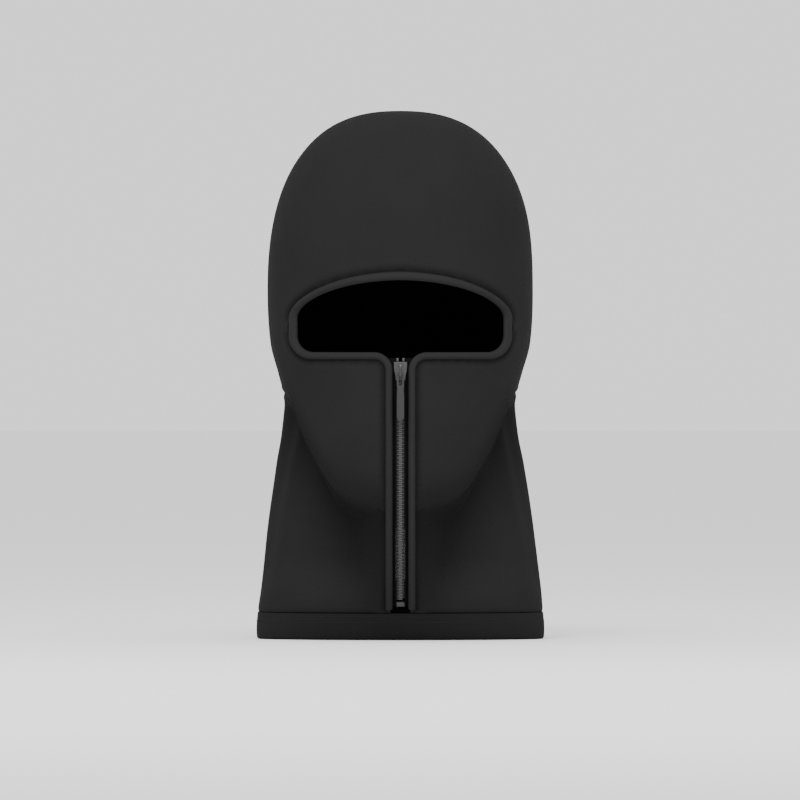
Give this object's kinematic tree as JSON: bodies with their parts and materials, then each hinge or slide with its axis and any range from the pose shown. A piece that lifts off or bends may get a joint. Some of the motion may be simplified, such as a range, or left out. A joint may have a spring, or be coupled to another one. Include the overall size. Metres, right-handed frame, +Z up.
{
  "type": "balaclava",
  "caption": "Close-fitting zipped balaclava with a wide bound eye opening, a front zip with slider and pull tab, and a flared neck.",
  "frame": {"origin": "centre of the hem's lower edge, at the height that it rests on", "axes": "the wearer faces -Y and +Z is up, so +X is the wearer's left, and left and right in the names are the wearer's"},
  "size_m": [0.1906, 0.201, 0.35],
  "materials": {
    "shell_cloth": "matte",
    "lining_cloth": "matte",
    "binding": "matte",
    "zip_tape": "matte",
    "zip_teeth": "satin",
    "zip_metal": "satin",
    "label": "matte"
  },
  "bodies": {
    "hood": {"face_panel": "shell_cloth", "left_back_panel": "shell_cloth", "right_back_panel": "shell_cloth", "left_neck_panel": "shell_cloth", "right_neck_panel": "shell_cloth", "back_neck_panel": "shell_cloth", "hem_band": "shell_cloth", "left_hood_lining": "lining_cloth", "right_hood_lining": "lining_cloth", "neck_lining": "lining_cloth", "face_binding": "binding", "left_zip_tape": "zip_tape", "right_zip_tape": "zip_tape", "left_zip_teeth": "zip_teeth", "right_zip_teeth": "zip_teeth", "left_top_stop": "zip_metal", "right_top_stop": "zip_metal", "bottom_stop": "zip_metal", "care_label": "label"},
    "slider": {"slider_body": "zip_metal", "slider_crown": "zip_metal"},
    "pull": {"pull_tab": "zip_metal"}
  },
  "joints": [
    {"name": "slider_travel", "type": "hinge", "parent": "hood", "child": "slider", "pos_m": [0, 0.1625, 0.165], "axis": [1, 0, 0], "range_deg": [0, 34.2], "deforming": ["left_zip_teeth", "right_zip_teeth"]},
    {"name": "pull_swing", "type": "hinge", "parent": "slider", "child": "pull", "pos_m": [0, -0.09835, 0.17547], "axis": [-1, 0, 0], "range_deg": [0, 160]}
  ]
}
